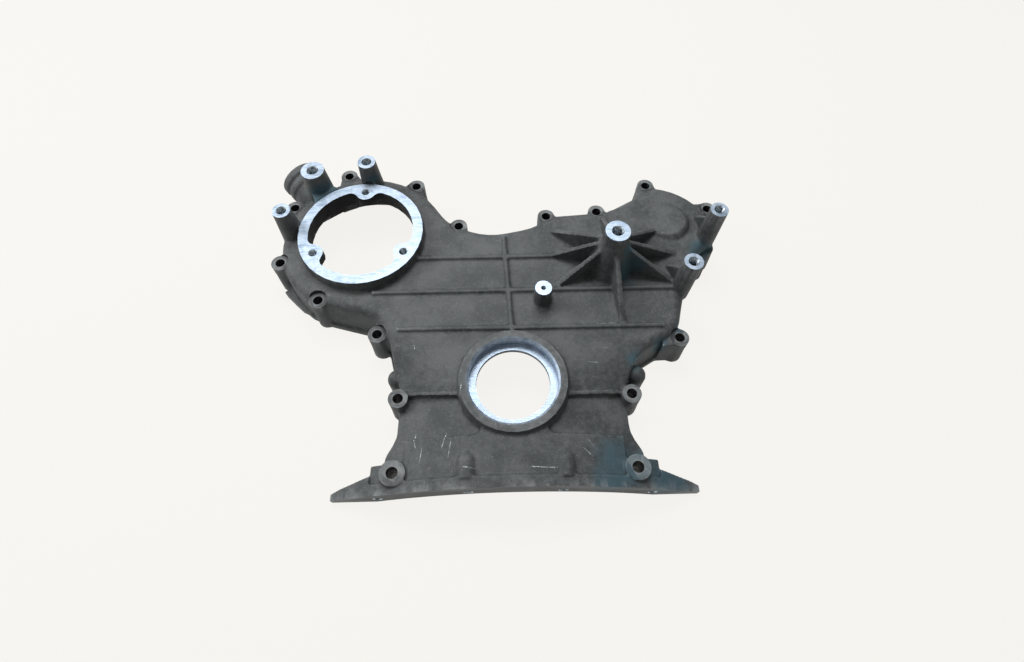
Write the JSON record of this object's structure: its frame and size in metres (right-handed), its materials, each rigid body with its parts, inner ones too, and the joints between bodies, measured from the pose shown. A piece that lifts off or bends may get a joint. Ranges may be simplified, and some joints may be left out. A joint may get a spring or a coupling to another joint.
{
  "type": "spur gear cover",
  "caption": "Cast timing gear cover with an open back, a lobed pump ring, a crankshaft seal bore, tall ribbed bosses and an arched sump rail.",
  "frame": {"origin": "middle of the bounding box, on the gasket plane that the cover lies on", "axes": "+X to the right seen from the front of the engine, +Y towards the engine's top, +Z outwards from the front face"},
  "size_m": [0.4978, 0.383, 0.1],
  "materials": {
    "cast_aluminium": "sand cast, dark grey oxide, with bright milled faces in the scene"
  },
  "bodies": {
    "root": {"gear_cover": "cast_aluminium"}
  },
  "joints": []
}
